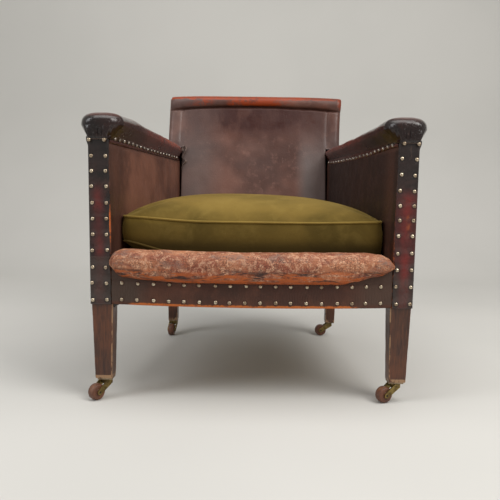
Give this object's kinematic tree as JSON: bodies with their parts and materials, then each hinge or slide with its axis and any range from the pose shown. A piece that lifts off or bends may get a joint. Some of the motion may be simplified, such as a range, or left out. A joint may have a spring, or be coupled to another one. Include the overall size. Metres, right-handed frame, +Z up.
{
  "type": "club chair",
  "caption": "Worn antique leather club chair with nailed arm posts, a bowed seat front, a loose velvet cushion and swivelling casters.",
  "frame": {"origin": "on the floor, under the middle of the chair's overall box", "axes": "+Z up, the chair faces -Y, +X is right as seen from the front"},
  "size_m": [0.7082, 0.7857, 0.7452],
  "materials": {
    "mahogany": "worn dark polish",
    "beech": "raw old timber",
    "arm_leather": "worn waxed",
    "post_leather": "polished, rubbed edges",
    "border_leather": "dry, wrinkled",
    "lip_leather": "scuffed and cracked",
    "back_leather": "soft sheen",
    "velvet": "crushed velvet",
    "hessian_cloth": "coarse weave",
    "jute_webbing": "herringbone weave",
    "spring_steel": "dull, lightly rusted",
    "iron": "dull",
    "brass": "tarnished",
    "wheel_wood": "worn, matt"
  },
  "bodies": {
    "frame": {"arm_rail_left": "beech", "arm_rail_right": "beech", "arm_roll_left": "arm_leather", "arm_roll_right": "arm_leather", "back_lower_rail": "beech", "back_pad": "back_leather", "back_seat_rail": "beech", "back_top_rail": "beech", "caster_plate_front_left": "iron", "caster_plate_front_right": "iron", "caster_plate_rear_left": "iron", "caster_plate_rear_right": "iron", "front_border": "border_leather", "front_leg_left": "mahogany", "front_leg_right": "mahogany", "front_lip": "lip_leather", "front_rail": "beech", "hessian": "hessian_cloth", "inner_arm_panel_left": "arm_leather", "inner_arm_panel_right": "arm_leather", "outer_arm_panel_left": "arm_leather", "outer_arm_panel_right": "arm_leather", "outer_back_cover": "back_leather", "post_facing_left": "post_leather", "post_facing_right": "post_leather", "rear_leg_left": "mahogany", "rear_leg_right": "mahogany", "seat_cushion": "velvet", "seat_deck": "hessian_cloth", "seat_spring_1": "spring_steel", "seat_spring_2": "spring_steel", "seat_spring_3": "spring_steel", "seat_spring_4": "spring_steel", "seat_spring_5": "spring_steel", "seat_spring_6": "spring_steel", "seat_spring_7": "spring_steel", "seat_spring_8": "spring_steel", "seat_spring_9": "spring_steel", "side_rail_left": "beech", "side_rail_right": "beech", "webbing_across_1": "jute_webbing", "webbing_across_2": "jute_webbing", "webbing_across_3": "jute_webbing", "webbing_along_1": "jute_webbing", "webbing_along_2": "jute_webbing", "webbing_along_3": "jute_webbing"},
    "caster_front_left": {"caster_axle_front_left": "iron", "caster_horn_front_left": "brass"},
    "wheel_front_left": {"caster_wheel_front_left": "wheel_wood"},
    "caster_front_right": {"caster_axle_front_right": "iron", "caster_horn_front_right": "brass"},
    "wheel_front_right": {"caster_wheel_front_right": "wheel_wood"},
    "caster_rear_left": {"caster_axle_rear_left": "iron", "caster_horn_rear_left": "brass"},
    "wheel_rear_left": {"caster_wheel_rear_left": "wheel_wood"},
    "caster_rear_right": {"caster_axle_rear_right": "iron", "caster_horn_rear_right": "brass"},
    "wheel_rear_right": {"caster_wheel_rear_right": "wheel_wood"}
  },
  "joints": [
    {"name": "swivel_front_left", "type": "hinge", "parent": "frame", "child": "caster_front_left", "pos_m": [-0.3091, -0.32414, 0.0355], "axis": [0, 0, 1], "continuous": true},
    {"name": "roll_front_left", "type": "hinge", "parent": "caster_front_left", "child": "wheel_front_left", "pos_m": [-0.32534, -0.3457, 0.0175], "axis": [0.7986, -0.6018, 0], "continuous": true},
    {"name": "swivel_front_right", "type": "hinge", "parent": "frame", "child": "caster_front_right", "pos_m": [0.3091, -0.32414, 0.0355], "axis": [0, 0, 1], "continuous": true},
    {"name": "roll_front_right", "type": "hinge", "parent": "caster_front_right", "child": "wheel_front_right", "pos_m": [0.28463, -0.33555, 0.0175], "axis": [0.4226, -0.9063, 0], "continuous": true},
    {"name": "swivel_rear_left", "type": "hinge", "parent": "frame", "child": "caster_rear_left", "pos_m": [-0.24516, 0.28261, 0.0355], "axis": [0, 0, 1], "continuous": true},
    {"name": "roll_rear_left", "type": "hinge", "parent": "caster_rear_left", "child": "wheel_rear_left", "pos_m": [-0.24751, 0.25571, 0.0175], "axis": [0.9962, -0.0872, 0], "continuous": true},
    {"name": "swivel_rear_right", "type": "hinge", "parent": "frame", "child": "caster_rear_right", "pos_m": [0.24516, 0.28261, 0.0355], "axis": [0, 0, 1], "continuous": true},
    {"name": "roll_rear_right", "type": "hinge", "parent": "caster_rear_right", "child": "wheel_rear_right", "pos_m": [0.21816, 0.28261, 0.0175], "axis": [0, -1, 0], "continuous": true}
  ]
}
